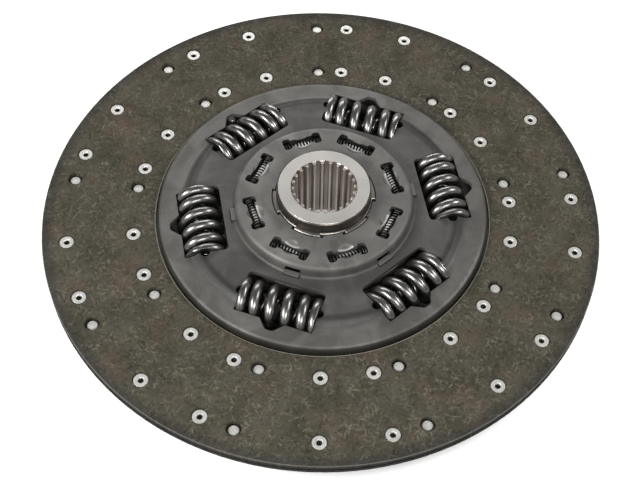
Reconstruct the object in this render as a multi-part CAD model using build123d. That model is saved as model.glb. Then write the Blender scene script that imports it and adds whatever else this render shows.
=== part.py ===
from build123d import *
from math import cos, degrees, radians, sin, sqrt, tan
import os

# Clutch disc with a torsion damper, millimetres and degrees.
# The origin is on the hub axis at mid-thickness of the facings, +Z is the gearbox side,
# and +X runs through the middle of the first damper spring.

# Friction facings
DISC_DIAMETER = 430.0
FACING_BORE = 0.6 * DISC_DIAMETER
FACING_THICKNESS = 3.5
FACING_EDGE = 0.5
CUSHION_GAP = 2.4

# Facing rivets, in two rows
INNER_ROW_MARGIN = 17.5
OUTER_ROW_MARGIN = 18.5
RIVET_ANGLE = 7.5
RIVET_SHANK_DIAMETER = 5.6
RIVET_BORE_DIAMETER = 4.2
RIVET_RING_DIAMETER = 11.4
RIVET_RING_HEIGHT = 1.2
RIVET_HEAD_DIAMETER = 8.2
RIVET_HEAD_HEIGHT = 2.6
RIVET_HEAD_EDGE = 0.5
FACING_LAND = 1.5
SINK_CLEARANCE = 0.4
ACCESS_CLEARANCE = 1.5

# Cushion segments
SEGMENT_COUNT = 9
SEGMENT_PHASE = 26.28
SEGMENT_THICKNESS = 0.9
SEGMENT_SPACING = 3.0
SEGMENT_SETBACK = 2.0
SEGMENT_NECK_MARGIN = 3.0
SEGMENT_FLAT = 2.6
SEGMENT_NECK_FLAT = 2.3
SEGMENT_ROOT_SPACING = 1.0
SEGMENT_SLOT_WIDTH = 2.4
SEGMENT_SLOT_SHARE = 0.54
SEGMENT_RIVET_ANGLE = 12.0
SEGMENT_RIVET_DIAMETER = 4.0
SEGMENT_RIVET_HEAD = 6.0
SEGMENT_RIVET_HEAD_HEIGHT = 1.8
SEGMENT_RIVET_EDGE_HEIGHT = 0.7
SEGMENT_RIVET_MARGIN = 3.2
SEGMENT_ROOT_MARGIN = 3.2

# Drive plate
DRIVE_PLATE_THICKNESS = 6.5
DRIVE_PLATE_SETBACK = 4.3
DRIVE_PLATE_BRIDGE = 3.0

# Damper springs
SPRING_COUNT = 6
SPRING_RADIUS = 0.369 * FACING_BORE
SPRING_HEIGHT = 2.5
SPRING_DIAMETER = 0.1337 * FACING_BORE
SPRING_WIRE = 0.232 * SPRING_DIAMETER
SPRING_LENGTH = 0.2326 * FACING_BORE
SPRING_ACTIVE_TURNS = 3.7
SPRING_END_TURNS = 0.9
END_COIL_PITCH = 1.04
SPRING_START_ANGLE = 180.0
INNER_SPRING_WIRE = 0.1045 * SPRING_DIAMETER
INNER_SPRING_GAP = 0.7
INNER_SPRING_ACTIVE_TURNS = 6.4
SPRING_SEAT_GAP = 0.3
SPRING_SIDE_GAP = 0.4
WINDOW_CORNER = 3.5
DRIVE_WINDOW_GAP = 0.5
DRIVE_WINDOW_CORNER = 1.5

# Side plates: the cover plate on the gearbox side and the rear plate
SHEET = 3.5
RIM_GAP = 1.2
RIM_TOP = 11.0
RIM_SKIRT_END = 2.3
RIM_EDGE_RADIUS = 4.5
LIP_SETBACK = 2.0
STEP_OUTER_SETBACK = 0.5
STEP_WIDTH = 5.5
TERRACE_TOP = 14.8
DOME_FOOT_SETBACK = 0.5
DOME_WALL_LEAN = 1.5
DOME_TOP = 24.7
BEND_RADIUS = 6.0
FOOT_RADIUS = 2.5
SHOULDER_RADIUS = 4.4
REAR_RIM_DROP = 1.8
NOTCH_BASE = 20.0
NOTCH_TIP = 6.0
NOTCH_DEPTH = 8.0
NOTCH_CORNER = 3.0
END_NOTCH_RADIUS = 3.6
WINDOW_EDGE_GAP = 0.1

# Tie lugs of the rear plate, which pass through the drive plate and the cover plate
LUG_RADIUS = 0.2713 * FACING_BORE
LUG_WIDTH = 11.5
LUG_THICKNESS = 4.0
LUG_PROUD = 1.6
LUG_SLOT_GAP = 0.4
LUG_RECESS_RISE = 6.0
LUG_RECESS_INSET = 2.6
LUG_CUTOUT_LENGTH = 26.0
MAIN_TWIST = 7.0
TWIST_MARGIN = 0.4

# Friction pack between drive plate and side plates
FRICTION_RING_REAR = 1.2
FRICTION_EDGE_GAP = 0.1
DIAPHRAGM_HEIGHT = 2.4
DIAPHRAGM_THICKNESS = 0.9

# Splined hub
HUB_DIAMETER = 0.2771 * FACING_BORE
HUB_TOP = 35.4
HUB_BOTTOM = -28.5
HUB_CHAMFER = 1.0
SPLINE_TEETH = 24
SPLINE_MAJOR_DIAMETER = 0.706 * HUB_DIAMETER
SPLINE_MINOR_DIAMETER = 0.632 * HUB_DIAMETER
SPLINE_TIP_SHARE = 0.26
SPLINE_ROOT_SHARE = 0.58
BORE_CHAMFER = 0.6
LOBE_COUNT = 6
LOBE_HEIGHT = 3.4
LOBE_ROOT_HEIGHT = 1.2
LOBE_HALF_ANGLE = 15.5
LOBE_TOP = 25.4
LOBE_BOTTOM = -6.5
LOBE_EDGE = 0.6
LOBE_GAP = 0.7
IDLE_TWIST = 3.0

# Idle damper in the dome
IDLE_SPRING_COUNT = 8
IDLE_SPRING_PHASE = 7.7
IDLE_SPRING_RADIUS = 0.2155 * FACING_BORE
IDLE_SPRING_DIAMETER = 7.8
IDLE_SPRING_WIRE = 1.5
IDLE_SPRING_LENGTH = 0.54 * IDLE_SPRING_RADIUS
IDLE_SPRING_TURNS = 10.5
IDLE_SPRING_END_TURNS = 1.0
SLOT_WIDTH = 6.4
SLOT_LOBE_WIDTH = 10.4
SLOT_LOBE_LENGTH = 6.4
SLOT_CORNER = 2.2
IDLE_WINDOW_CORNER = 0.8
SCOOP_RADIUS = 10.0
SCOOP_DEPTH = 2.6
SCOOP_SHIFT = 1.4
IDLE_PLATE_THICKNESS = 3.0
IDLE_PLATE_MARGIN = 2.5
IDLE_CAGE_FLOOR = 3.4
IDLE_CAGE_WALL = 4.0
IDLE_CAGE_GAP = 3.0
IDLE_CAGE_LOBE_GAP = 3.4

# Hub bush in the rear plate
BUSH_WALL = 1.6
BUSH_FLANGE = 5.2
RUNNING_FIT = 0.08
SEAT_FIT = 0.05

# Levels and radii worked out from the sizes above
disc_radius = DISC_DIAMETER / 2
facing_bore_radius = FACING_BORE / 2
facing_top = CUSHION_GAP / 2 + FACING_THICKNESS
inner_row_radius = facing_bore_radius + INNER_ROW_MARGIN
outer_row_radius = disc_radius - OUTER_ROW_MARGIN
neck_radius = facing_bore_radius + SEGMENT_NECK_MARGIN
rim_radius = facing_bore_radius - RIM_GAP
drive_plate_radius = rim_radius - DRIVE_PLATE_SETBACK
segment_rivet_radius = drive_plate_radius - SEGMENT_RIVET_MARGIN
plate_front = CUSHION_GAP / 2 - SEGMENT_THICKNESS
plate_rear = plate_front - DRIVE_PLATE_THICKNESS
rear_inside = plate_rear - FRICTION_RING_REAR
rear_outside = rear_inside - SHEET
rear_rim = rear_outside - REAR_RIM_DROP
cover_inside = TERRACE_TOP - SHEET
front_ring_top = cover_inside - DIAPHRAGM_HEIGHT
window_half = SPRING_LENGTH / 2 + SPRING_SEAT_GAP
segment_pitch = 360.0 / SEGMENT_COUNT
envelope = SPRING_DIAMETER / 2 + SPRING_SIDE_GAP
lip_radius = SPRING_RADIUS + SPRING_DIAMETER / 2 - LIP_SETBACK
step_outer_radius = lip_radius - STEP_OUTER_SETBACK
step_inner_radius = step_outer_radius - STEP_WIDTH
dome_foot_radius = LUG_RADIUS - DOME_FOOT_SETBACK
dome_shoulder_radius = dome_foot_radius - DOME_WALL_LEAN
lobe_tip_radius = HUB_DIAMETER / 2 + LOBE_HEIGHT
lobe_root_radius = HUB_DIAMETER / 2 + LOBE_ROOT_HEIGHT


def ring(outer_radius, inner_radius, bottom, top):
    """Flat ring between two levels."""
    face = Circle(outer_radius) - Circle(inner_radius)
    return Pos(0, 0, bottom) * extrude(face, top - bottom)


def around(shape, count, phase=0.0):
    """Copies of a shape spread evenly about the hub axis."""
    return [Rot(0, 0, phase + 360.0 * k / count) * shape for k in range(count)]


def sector(outer_radius, inner_radius, half_angle):
    """Flat ring sector about the +X axis."""
    reach = outer_radius * 1.5
    side = reach * tan(radians(half_angle))
    wedge = make_face(Polyline((0, 0), (reach, -side), (reach, side), close=True))
    return (Circle(outer_radius) - Circle(inner_radius)) & wedge


def rivet_places(angles):
    """Places of one rivet pattern in both rows of every segment."""
    places = []
    for k in range(SEGMENT_COUNT):
        for angle in angles:
            for radius in (inner_row_radius, outer_row_radius):
                turn = SEGMENT_PHASE + segment_pitch * k + angle
                places.append(Rot(0, 0, turn) * Pos(radius, 0, 0))
    return places


front_places = rivet_places((-RIVET_ANGLE, RIVET_ANGLE))
rear_places = rivet_places((2 * RIVET_ANGLE,))


def friction_facing(own_places, other_places):
    """Facing on the +Z side: sunk holes for its own rivets, access holes over the other facing's."""
    low = CUSHION_GAP / 2
    body = ring(disc_radius, facing_bore_radius, low, facing_top)
    body = chamfer(body.edges().group_by(Axis.Z)[-1], FACING_EDGE)
    hole = Pos(0, 0, low) * extrude(Circle(RIVET_SHANK_DIAMETER / 2 + SEAT_FIT), FACING_THICKNESS)
    sink_radius = RIVET_RING_DIAMETER / 2 + SINK_CLEARANCE
    sink = Pos(0, 0, low + FACING_LAND) * extrude(Circle(sink_radius), FACING_THICKNESS)
    access_radius = RIVET_HEAD_DIAMETER / 2 + ACCESS_CLEARANCE
    access = Pos(0, 0, low) * extrude(Circle(access_radius), FACING_THICKNESS)
    cuts = [place * hole for place in own_places]
    cuts += [place * sink for place in own_places]
    cuts += [place * access for place in other_places]
    return body - cuts


def facing_rivet():
    """Semi-tubular rivet: closed head under the segment, clinched ring on the facing's land."""
    low = plate_front
    land = CUSHION_GAP / 2 + FACING_LAND
    shank = RIVET_SHANK_DIAMETER / 2
    bore = RIVET_BORE_DIAMETER / 2
    head = RIVET_HEAD_DIAMETER / 2
    clinch = RIVET_RING_DIAMETER / 2
    bevel = RIVET_RING_HEIGHT / 2
    outline = Polyline(
        (0, low - RIVET_HEAD_HEIGHT),
        (head - RIVET_HEAD_EDGE, low - RIVET_HEAD_HEIGHT),
        (head, low - RIVET_HEAD_HEIGHT + RIVET_HEAD_EDGE),
        (head, low),
        (shank, low),
        (shank, land),
        (clinch, land),
        (clinch, land + bevel),
        (clinch - bevel, land + RIVET_RING_HEIGHT),
        (bore + bevel, land + RIVET_RING_HEIGHT),
        (bore, land + bevel),
        (bore, low),
        (0, low),
        close=True,
    )
    return revolve(make_face(Plane.XZ * outline), Axis.Z)


def wave_outline(distance):
    """Section of the waved paddle across its width: crests at the front facing, troughs at the rear."""
    half_gap = CUSHION_GAP / 2
    flat = tan(radians(SEGMENT_FLAT)) * distance
    edge = distance * tan(radians(segment_pitch / 2)) - SEGMENT_SPACING / 2
    levels = []
    for step in (-2, -1, 0, 1, 2):
        middle = tan(radians(step * RIVET_ANGLE)) * distance
        level = half_gap if step % 2 else half_gap - (CUSHION_GAP - SEGMENT_THICKNESS)
        start = -edge if step == -2 else middle - flat
        stop = edge if step == 2 else middle + flat
        levels += [(start, level), (stop, level)]
    under = [(y, z - SEGMENT_THICKNESS) for y, z in reversed(levels)]
    points = [(distance, y, z) for y, z in levels + under]
    return make_face(Polyline(*points, close=True))


def cushion_segment():
    """Spring-steel segment: flat root on the drive plate, waved paddle between the facings."""
    half_gap = CUSHION_GAP / 2
    outer = disc_radius - SEGMENT_SETBACK
    root_radius = segment_rivet_radius - SEGMENT_ROOT_MARGIN
    root_half = segment_pitch / 2 - SEGMENT_ROOT_SPACING
    near = root_radius
    far = DISC_DIAMETER - root_radius
    paddle = loft([wave_outline(near), wave_outline(far)], ruled=True)
    paddle &= ring(outer, neck_radius, -half_gap, half_gap)
    slot_length = SEGMENT_SLOT_SHARE * (outer - neck_radius)
    slot = Pos(outer - slot_length / 2, 0, -half_gap) * extrude(
        Rectangle(slot_length, SEGMENT_SLOT_WIDTH), CUSHION_GAP)
    root = sector(neck_radius, root_radius, root_half)
    for side in (-RIVET_ANGLE, RIVET_ANGLE):
        neck = sector(neck_radius + SEGMENT_ROOT_MARGIN, root_radius, SEGMENT_NECK_FLAT)
        root += Rot(0, 0, side) * neck
    blade = paddle - slot + Pos(0, 0, plate_front) * extrude(root, SEGMENT_THICKNESS)
    holes = []
    for angle in (-RIVET_ANGLE, RIVET_ANGLE, 2 * RIVET_ANGLE):
        for radius in (inner_row_radius, outer_row_radius):
            hole = Cylinder(RIVET_SHANK_DIAMETER / 2 + SEAT_FIT, CUSHION_GAP * 2)
            holes.append(Rot(0, 0, angle) * Pos(radius, 0, 0) * hole)
    for angle in (-SEGMENT_RIVET_ANGLE, 0, SEGMENT_RIVET_ANGLE):
        hole = Cylinder(SEGMENT_RIVET_DIAMETER / 2 + SEAT_FIT, CUSHION_GAP * 2)
        holes.append(Rot(0, 0, angle) * Pos(segment_rivet_radius, 0, 0) * hole)
    return blade - holes


def segment_rivet_places():
    """Three rivets hold each segment's root to the drive plate."""
    places = []
    for k in range(SEGMENT_COUNT):
        for angle in (-SEGMENT_RIVET_ANGLE, 0, SEGMENT_RIVET_ANGLE):
            turn = SEGMENT_PHASE + segment_pitch * k + angle
            places.append(Rot(0, 0, turn) * Pos(segment_rivet_radius, 0, 0))
    return places


def segment_rivet():
    """Solid rivet with a domed head on both sides."""
    top = CUSHION_GAP / 2
    shank = SEGMENT_RIVET_DIAMETER / 2
    head = SEGMENT_RIVET_HEAD / 2
    tall = SEGMENT_RIVET_HEAD_HEIGHT
    crown = shank
    outline = Polyline(
        (0, plate_rear - tall),
        (crown, plate_rear - tall),
        (head, plate_rear - SEGMENT_RIVET_EDGE_HEIGHT),
        (head, plate_rear),
        (shank, plate_rear),
        (shank, top),
        (head, top),
        (head, top + SEGMENT_RIVET_EDGE_HEIGHT),
        (crown, top + tall),
        (0, top + tall),
        close=True,
    )
    return revolve(make_face(Plane.XZ * outline), Axis.Z)


def drive_plate():
    """Middle plate: carries the segments, with a window for each spring and a slot for each lug."""
    slot_reach = LUG_THICKNESS / 2 + LUG_SLOT_GAP
    bore = LUG_RADIUS - slot_reach - DRIVE_PLATE_BRIDGE
    face = Circle(drive_plate_radius) - Circle(bore)
    width = SPRING_DIAMETER + 2 * DRIVE_WINDOW_GAP
    window = RectangleRounded(width, 2 * window_half, DRIVE_WINDOW_CORNER)
    face -= around(Pos(SPRING_RADIUS, 0) * window, SPRING_COUNT)
    lug_half = degrees(LUG_WIDTH / 2 / (LUG_RADIUS - LUG_THICKNESS / 2))
    slot_half = lug_half + MAIN_TWIST + TWIST_MARGIN
    slot = sector(LUG_RADIUS + slot_reach, LUG_RADIUS - slot_reach, slot_half)
    face -= around(slot, SPRING_COUNT)
    face -= [place * Circle(SEGMENT_RIVET_DIAMETER / 2 + SEAT_FIT) for place in segment_rivet_places()]
    return Pos(0, 0, plate_rear) * extrude(face, DRIVE_PLATE_THICKNESS)


def coil(mean_radius, wire, pitch, turns, start_turn, start_height, left_handed):
    """One stretch of a helical wire about +Z, with its section in the plane through the axis."""
    path = Helix(pitch, pitch * turns, mean_radius, lefthand=left_handed)
    section = Plane.XZ * Pos(mean_radius, 0) * Circle(wire / 2)
    stretch = sweep(section, path=path, is_frenet=True)
    turn = -360.0 * start_turn if left_handed else 360.0 * start_turn
    return Pos(0, 0, start_height) * Rot(0, 0, turn) * stretch


def compression_spring(diameter, wire, length, active_turns, end_turns, left_handed=False):
    """Spring with closed and ground ends, its middle at the origin and its axis along Y."""
    mean = (diameter - wire) / 2
    end_pitch = wire * END_COIL_PITCH
    end_height = end_pitch * end_turns
    pitch = (length - 2 * end_height) / active_turns
    body = coil(mean, wire, end_pitch, end_turns, 0, 0, left_handed)
    body += coil(mean, wire, pitch, active_turns, end_turns, end_height, left_handed)
    body += coil(mean, wire, end_pitch, end_turns, end_turns + active_turns,
                 length - end_height, left_handed)
    ground = Pos(0, 0, length / 2) * Box(2 * diameter, 2 * diameter, length)
    body = Rot(0, 0, SPRING_START_ANGLE) * (body & ground)
    return Rot(-90, 0, 0) * Pos(0, 0, -length / 2) * body


def sheet_section(points, radii, inward):
    """Half section of a pressed plate: the outer line of the sheet, rounded, and thickened."""
    line = FilletPolyline(*points, radius=radii)
    section = Plane.XZ * offset(line, amount=SHEET, side=inward, closed=True)
    return make_face(section.edges())


def spring_window():
    """Window of a side plate: straight inside edge, lips along an arc, a tapered notch between the lips."""
    inside_edge = SPRING_RADIUS - envelope - WINDOW_EDGE_GAP
    box_face = Pos(inside_edge + SPRING_DIAMETER, 0) * Rectangle(2 * SPRING_DIAMETER, 2 * window_half)
    face = box_face & Circle(lip_radius)
    face = fillet(face.vertices(), WINDOW_CORNER)
    tip_radius = lip_radius + NOTCH_DEPTH
    foot_half = NOTCH_BASE - NOTCH_TIP / 2
    notch = make_face(Polyline(
        (lip_radius - NOTCH_DEPTH, -foot_half),
        (tip_radius, -NOTCH_TIP / 2),
        (tip_radius, NOTCH_TIP / 2),
        (lip_radius - NOTCH_DEPTH, foot_half),
        close=True,
    ))
    notch = fillet(notch.vertices().group_by(Axis.X)[-1], NOTCH_CORNER)
    ends = [Pos(SPRING_RADIUS, side) * Circle(END_NOTCH_RADIUS) for side in (-window_half, window_half)]
    return face + notch + ends


def spring_room():
    """What a side plate leaves free for one spring: the window and the round of the spring itself."""
    tall = 4 * SPRING_DIAMETER
    window = Pos(0, 0, -tall / 2) * extrude(spring_window(), tall)
    round_room = Rot(90, 0, 0) * Cylinder(envelope, 2 * window_half)
    round_room = Pos(SPRING_RADIUS, 0, SPRING_HEIGHT) * round_room
    return [window, round_room]


def lobes(radius_gap, angle_gap):
    """Outline of the hub's six broad lobes, widened by a gap."""
    face = Sketch() + Circle(lobe_root_radius + radius_gap)
    lobe = sector(lobe_tip_radius + radius_gap, HUB_DIAMETER / 4, LOBE_HALF_ANGLE + angle_gap)
    return face + around(lobe, LOBE_COUNT)


def idle_slot():
    """Dog-bone slot over one idle spring, about the +X axis."""
    length = IDLE_SPRING_LENGTH + 2 * SPRING_SEAT_GAP
    face = Sketch() + Rectangle(SLOT_WIDTH, length)
    lobe = RectangleRounded(SLOT_LOBE_WIDTH, SLOT_LOBE_LENGTH, SLOT_CORNER)
    shift = (length - SLOT_LOBE_LENGTH) / 2
    face += [Pos(0, shift) * lobe, Pos(0, -shift) * lobe]
    return Pos(IDLE_SPRING_RADIUS, 0) * face


def idle_axis_height():
    """Height of the idle springs: their round just clears the edges of the slots above them."""
    clear = IDLE_SPRING_DIAMETER / 2 + SPRING_SEAT_GAP
    return DOME_TOP - SHEET - sqrt(clear ** 2 - (SLOT_WIDTH / 2) ** 2)


def cover_plate():
    """Pressed cover: skirted rim, step up to the terrace with the spring windows, and slotted dome."""
    points = [
        (rim_radius, RIM_SKIRT_END),
        (rim_radius, RIM_TOP),
        (step_outer_radius, RIM_TOP),
        (step_inner_radius, TERRACE_TOP),
        (dome_foot_radius, TERRACE_TOP),
        (dome_shoulder_radius, DOME_TOP),
        (lobe_root_radius / 2, DOME_TOP),
    ]
    radii = [RIM_EDGE_RADIUS, BEND_RADIUS, BEND_RADIUS, FOOT_RADIUS, SHOULDER_RADIUS]
    plate = revolve(sheet_section(points, radii, Side.LEFT), Axis.Z)
    tall = 2 * DOME_TOP
    cuts = []
    for room in spring_room():
        cuts += around(room, SPRING_COUNT)
    cuts.append(extrude(lobes(LOBE_GAP, IDLE_TWIST + TWIST_MARGIN), tall))
    cuts += around(extrude(idle_slot(), tall), IDLE_SPRING_COUNT, IDLE_SPRING_PHASE)
    scoop_height = DOME_TOP + SCOOP_RADIUS - SCOOP_DEPTH
    scoop = Pos(IDLE_SPRING_RADIUS - SCOOP_SHIFT, 0, scoop_height) * Sphere(SCOOP_RADIUS)
    cuts += around(scoop, IDLE_SPRING_COUNT, IDLE_SPRING_PHASE)
    recess_depth = LUG_THICKNESS + 2 * LUG_SLOT_GAP + LUG_RECESS_INSET
    recess = Rectangle(recess_depth, LUG_WIDTH + 2 * LUG_SLOT_GAP)
    recess = extrude(recess, TERRACE_TOP + LUG_RECESS_RISE)
    recess = Pos(LUG_RADIUS - LUG_RECESS_INSET / 2, 0, 0) * recess
    cuts += around(recess, SPRING_COUNT)
    return plate - cuts


def rear_plate():
    """Pressed rear plate with six lugs bent out of it that tie it to the cover plate."""
    bore = HUB_DIAMETER / 2 + RUNNING_FIT + BUSH_WALL + SEAT_FIT
    points = [
        (rim_radius, -RIM_SKIRT_END),
        (rim_radius, rear_rim),
        (step_outer_radius, rear_rim),
        (step_inner_radius, rear_outside),
        (bore, rear_outside),
    ]
    radii = [RIM_EDGE_RADIUS, BEND_RADIUS, BEND_RADIUS]
    plate = revolve(sheet_section(points, radii, Side.RIGHT), Axis.Z)
    cuts = []
    for room in spring_room():
        cuts += around(room, SPRING_COUNT)
    cutout_middle = LUG_RADIUS - (LUG_THICKNESS + LUG_CUTOUT_LENGTH) / 2
    cutout = Pos(cutout_middle, 0, rear_outside) * extrude(Rectangle(LUG_CUTOUT_LENGTH, LUG_WIDTH), SHEET)
    cuts += around(cutout, SPRING_COUNT)
    lug_height = TERRACE_TOP + LUG_PROUD - rear_outside
    lug = Pos(LUG_RADIUS, 0, rear_outside) * extrude(Rectangle(LUG_THICKNESS, LUG_WIDTH), lug_height)
    return plate - cuts + around(lug, SPRING_COUNT)


def friction_inner_radius():
    """The friction pack runs just outside the tie lugs."""
    return LUG_RADIUS + LUG_THICKNESS / 2 + 2 * LUG_SLOT_GAP


def friction_outer_radius():
    """The friction pack ends just inside the drive plate's spring windows."""
    return SPRING_RADIUS - SPRING_DIAMETER / 2 - DRIVE_WINDOW_GAP - FRICTION_EDGE_GAP


def diaphragm_spring():
    """Coned washer that presses the front friction ring on the drive plate."""
    inner = friction_inner_radius()
    outer = friction_outer_radius()
    outline = Polyline(
        (outer, front_ring_top),
        (outer, front_ring_top + DIAPHRAGM_THICKNESS),
        (inner, cover_inside),
        (inner, cover_inside - DIAPHRAGM_THICKNESS),
        close=True,
    )
    return revolve(make_face(Plane.XZ * outline), Axis.Z)


def splined_hub():
    """Turned hub with six lobes round its middle and an involute-like spline through its bore."""
    barrel = ring(HUB_DIAMETER / 2, SPLINE_MINOR_DIAMETER / 4, HUB_BOTTOM, HUB_TOP)
    ends = barrel.edges().filter_by(GeomType.CIRCLE).sort_by(SortBy.RADIUS)[-2:]
    barrel = chamfer(ends, HUB_CHAMFER)
    collar = Pos(0, 0, LOBE_BOTTOM) * extrude(lobes(0, 0), LOBE_TOP - LOBE_BOTTOM)
    barrel += chamfer(collar.edges().group_by(Axis.Z)[-1], LOBE_EDGE)
    minor = SPLINE_MINOR_DIAMETER / 2
    major = SPLINE_MAJOR_DIAMETER / 2
    tip_half = radians(180.0 / SPLINE_TEETH) * (1 - SPLINE_TIP_SHARE)
    root_half = radians(180.0 / SPLINE_TEETH) * (1 - SPLINE_ROOT_SHARE)
    inner = minor * 0.95
    space = make_face(Polyline(
        (inner, -minor * sin(tip_half)),
        (minor * cos(tip_half), -minor * sin(tip_half)),
        (major, -major * sin(root_half)),
        (major, major * sin(root_half)),
        (minor * cos(tip_half), minor * sin(tip_half)),
        (inner, minor * sin(tip_half)),
        close=True,
    ))
    bore = Sketch() + Circle(minor)
    bore += around(space, SPLINE_TEETH)
    tall = HUB_TOP - HUB_BOTTOM
    mouth = [
        Pos(0, 0, HUB_TOP - BORE_CHAMFER / 2) * Cone(major - BORE_CHAMFER, major, BORE_CHAMFER),
        Pos(0, 0, HUB_BOTTOM + BORE_CHAMFER / 2) * Cone(major, major - BORE_CHAMFER, BORE_CHAMFER),
    ]
    return barrel - [Pos(0, 0, HUB_BOTTOM) * extrude(bore, tall)] - mouth


def idle_plate():
    """Flat plate on the hub's lobes with a window for each idle spring."""
    length = IDLE_SPRING_LENGTH + 2 * SPRING_SEAT_GAP
    width = IDLE_SPRING_DIAMETER + 2 * SPRING_SIDE_GAP
    outer = IDLE_SPRING_RADIUS + width / 2 + IDLE_PLATE_MARGIN
    face = Circle(outer) - lobes(SEAT_FIT, 0)
    window = Pos(IDLE_SPRING_RADIUS, 0) * RectangleRounded(width, length, IDLE_WINDOW_CORNER)
    face -= around(window, IDLE_SPRING_COUNT, IDLE_SPRING_PHASE)
    middle = idle_axis_height() - IDLE_SPRING_DIAMETER / 4
    return Pos(0, 0, middle - IDLE_PLATE_THICKNESS / 2) * extrude(face, IDLE_PLATE_THICKNESS)


def idle_cage():
    """Moulded cage, clamped between the rear plate and the dome, that holds the idle springs from below."""
    outer = dome_shoulder_radius - SHEET - IDLE_CAGE_GAP
    floor_top = idle_axis_height() - IDLE_SPRING_DIAMETER / 2 - SPRING_SEAT_GAP
    floor_low = floor_top - IDLE_CAGE_FLOOR
    cage = ring(outer, outer - IDLE_CAGE_WALL, rear_inside, floor_top)
    return cage + ring(outer, lobe_tip_radius + IDLE_CAGE_LOBE_GAP, floor_low, floor_top)


def hub_bush():
    """Flanged bush that centres the hub in the rear plate."""
    inner = HUB_DIAMETER / 2 + RUNNING_FIT
    sleeve = ring(inner + BUSH_WALL, inner, rear_outside, LOBE_BOTTOM - RUNNING_FIT)
    return sleeve + ring(inner + BUSH_FLANGE, inner, rear_inside, LOBE_BOTTOM - RUNNING_FIT)


os.makedirs("parts", exist_ok=True)


def save(name, shape):
    """Write one piece, or one group of like pieces."""
    if isinstance(shape, list):
        shape = Compound(children=[item.solid() for item in shape])
    export_step(shape, f"parts/{name}.step")


facing = friction_facing(front_places, rear_places)
save("friction_facing_front", facing)
save("friction_facing_rear", mirror(friction_facing(rear_places, front_places), Plane.XY))
rivet = facing_rivet()
save("front_facing_rivets", [place * rivet for place in front_places])
under_rivet = mirror(rivet, Plane.XY)
save("rear_facing_rivets", [place * under_rivet for place in rear_places])

segment = cushion_segment()
for number, piece in enumerate(around(segment, SEGMENT_COUNT, SEGMENT_PHASE), 1):
    save(f"cushion_segment_{number}", piece)
root_rivet = segment_rivet()
save("segment_rivets", [place * root_rivet for place in segment_rivet_places()])
save("drive_plate", drive_plate())

outer_spring = compression_spring(
    SPRING_DIAMETER, SPRING_WIRE, SPRING_LENGTH, SPRING_ACTIVE_TURNS, SPRING_END_TURNS)
inner_diameter = SPRING_DIAMETER - 2 * SPRING_WIRE - 2 * INNER_SPRING_GAP
inner_spring = compression_spring(
    inner_diameter, INNER_SPRING_WIRE, SPRING_LENGTH, INNER_SPRING_ACTIVE_TURNS, SPRING_END_TURNS, True)
spring_place = Pos(SPRING_RADIUS, 0, SPRING_HEIGHT)
for number, piece in enumerate(around(spring_place * outer_spring, SPRING_COUNT), 1):
    save(f"damper_spring_outer_{number}", piece)
for number, piece in enumerate(around(spring_place * inner_spring, SPRING_COUNT), 1):
    save(f"damper_spring_inner_{number}", piece)

save("cover_plate", cover_plate())
save("rear_plate", rear_plate())
friction_in = friction_inner_radius()
friction_out = friction_outer_radius()
save("friction_ring_front", ring(friction_out, friction_in, plate_front, front_ring_top))
save("friction_ring_rear", ring(friction_out, friction_in, rear_inside, plate_rear))
save("diaphragm_spring", diaphragm_spring())

save("splined_hub", splined_hub())
save("hub_bush", hub_bush())
save("idle_damper_plate", idle_plate())
save("idle_damper_cage", idle_cage())
idle_spring = compression_spring(
    IDLE_SPRING_DIAMETER, IDLE_SPRING_WIRE, IDLE_SPRING_LENGTH, IDLE_SPRING_TURNS, IDLE_SPRING_END_TURNS)
idle_spring = Pos(IDLE_SPRING_RADIUS, 0, idle_axis_height()) * idle_spring
for number, piece in enumerate(around(idle_spring, IDLE_SPRING_COUNT, IDLE_SPRING_PHASE), 1):
    save(f"idle_spring_{number}", piece)
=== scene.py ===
import bpy
import math
import numpy as np
from mathutils import Matrix, Vector


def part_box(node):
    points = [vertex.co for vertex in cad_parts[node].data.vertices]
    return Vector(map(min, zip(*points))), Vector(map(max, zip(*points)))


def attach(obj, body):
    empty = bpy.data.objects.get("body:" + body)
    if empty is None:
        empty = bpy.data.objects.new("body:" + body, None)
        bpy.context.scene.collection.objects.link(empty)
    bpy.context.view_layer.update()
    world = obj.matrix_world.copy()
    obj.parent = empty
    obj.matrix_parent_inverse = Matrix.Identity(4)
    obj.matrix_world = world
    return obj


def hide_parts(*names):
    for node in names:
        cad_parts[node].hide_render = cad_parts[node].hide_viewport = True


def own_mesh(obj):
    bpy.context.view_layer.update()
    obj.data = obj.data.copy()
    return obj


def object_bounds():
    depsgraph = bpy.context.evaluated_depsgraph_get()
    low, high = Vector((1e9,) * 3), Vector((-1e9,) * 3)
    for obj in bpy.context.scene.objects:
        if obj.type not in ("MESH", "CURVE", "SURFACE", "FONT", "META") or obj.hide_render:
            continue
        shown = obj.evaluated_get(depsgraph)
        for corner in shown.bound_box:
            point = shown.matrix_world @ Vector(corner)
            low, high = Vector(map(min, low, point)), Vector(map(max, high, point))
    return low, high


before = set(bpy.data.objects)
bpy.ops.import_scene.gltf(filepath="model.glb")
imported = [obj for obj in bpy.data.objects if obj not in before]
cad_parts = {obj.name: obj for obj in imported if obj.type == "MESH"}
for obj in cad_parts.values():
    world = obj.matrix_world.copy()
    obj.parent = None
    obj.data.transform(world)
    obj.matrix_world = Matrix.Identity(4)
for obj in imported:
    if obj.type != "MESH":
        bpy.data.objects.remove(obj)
cad_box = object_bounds()
scene = bpy.context.scene
scene.view_settings.view_transform = "Standard"


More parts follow.
